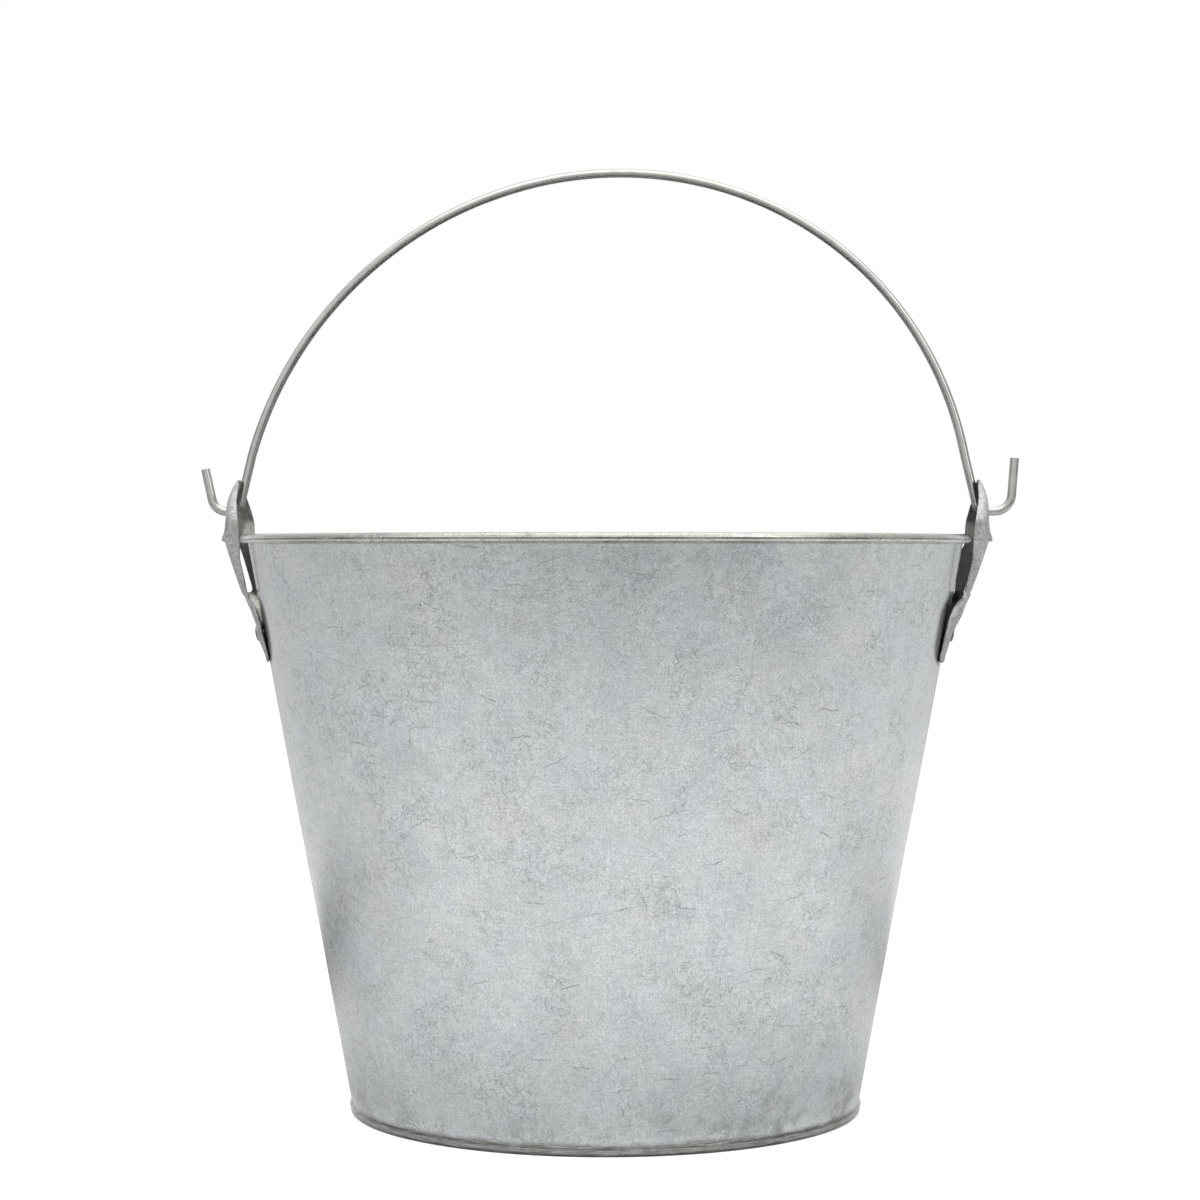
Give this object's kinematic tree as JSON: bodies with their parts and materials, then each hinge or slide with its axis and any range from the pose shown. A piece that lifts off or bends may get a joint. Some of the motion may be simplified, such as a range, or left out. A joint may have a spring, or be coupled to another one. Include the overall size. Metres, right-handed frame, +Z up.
{
  "type": "beverage bucket",
  "caption": "Tapered galvanised steel bucket with a rolled rim, riveted ears and a hooked wire bail that swings over it, for holding iced drinks at the table.",
  "frame": {"origin": "centre of the base's underside, on the floor the bucket stands on", "axes": "+Z up from the floor to the top of the upright bail; X runs through the two ears and is the bail's hinge line; -Y is the front in the picture and the wall's seam is at +Y"},
  "size_m": [0.2093, 0.186, 0.2401],
  "materials": {
    "galvanised_sheet": "hot-dip galvanised, fine mottled spangle, satin",
    "galvanised_pressing": "galvanised after pressing, speckled grey",
    "plated_rivet": "zinc plated",
    "zinc_wire": "drawn wire, zinc coated, semi-bright"
  },
  "bodies": {
    "bucket": {"bucket_wall": "galvanised_sheet", "rim_wire": "zinc_wire", "base_pan": "galvanised_sheet", "ear_left": "galvanised_pressing", "ear_right": "galvanised_pressing", "rivet_left": "plated_rivet", "rivet_right": "plated_rivet"},
    "bail": {"bail": "zinc_wire"}
  },
  "joints": [
    {"name": "bail_swing", "type": "hinge", "parent": "bucket", "child": "bail", "pos_m": [0, 0, 0.1526], "axis": [1, 0, 0], "range_deg": [-94.5, 94.5]}
  ]
}
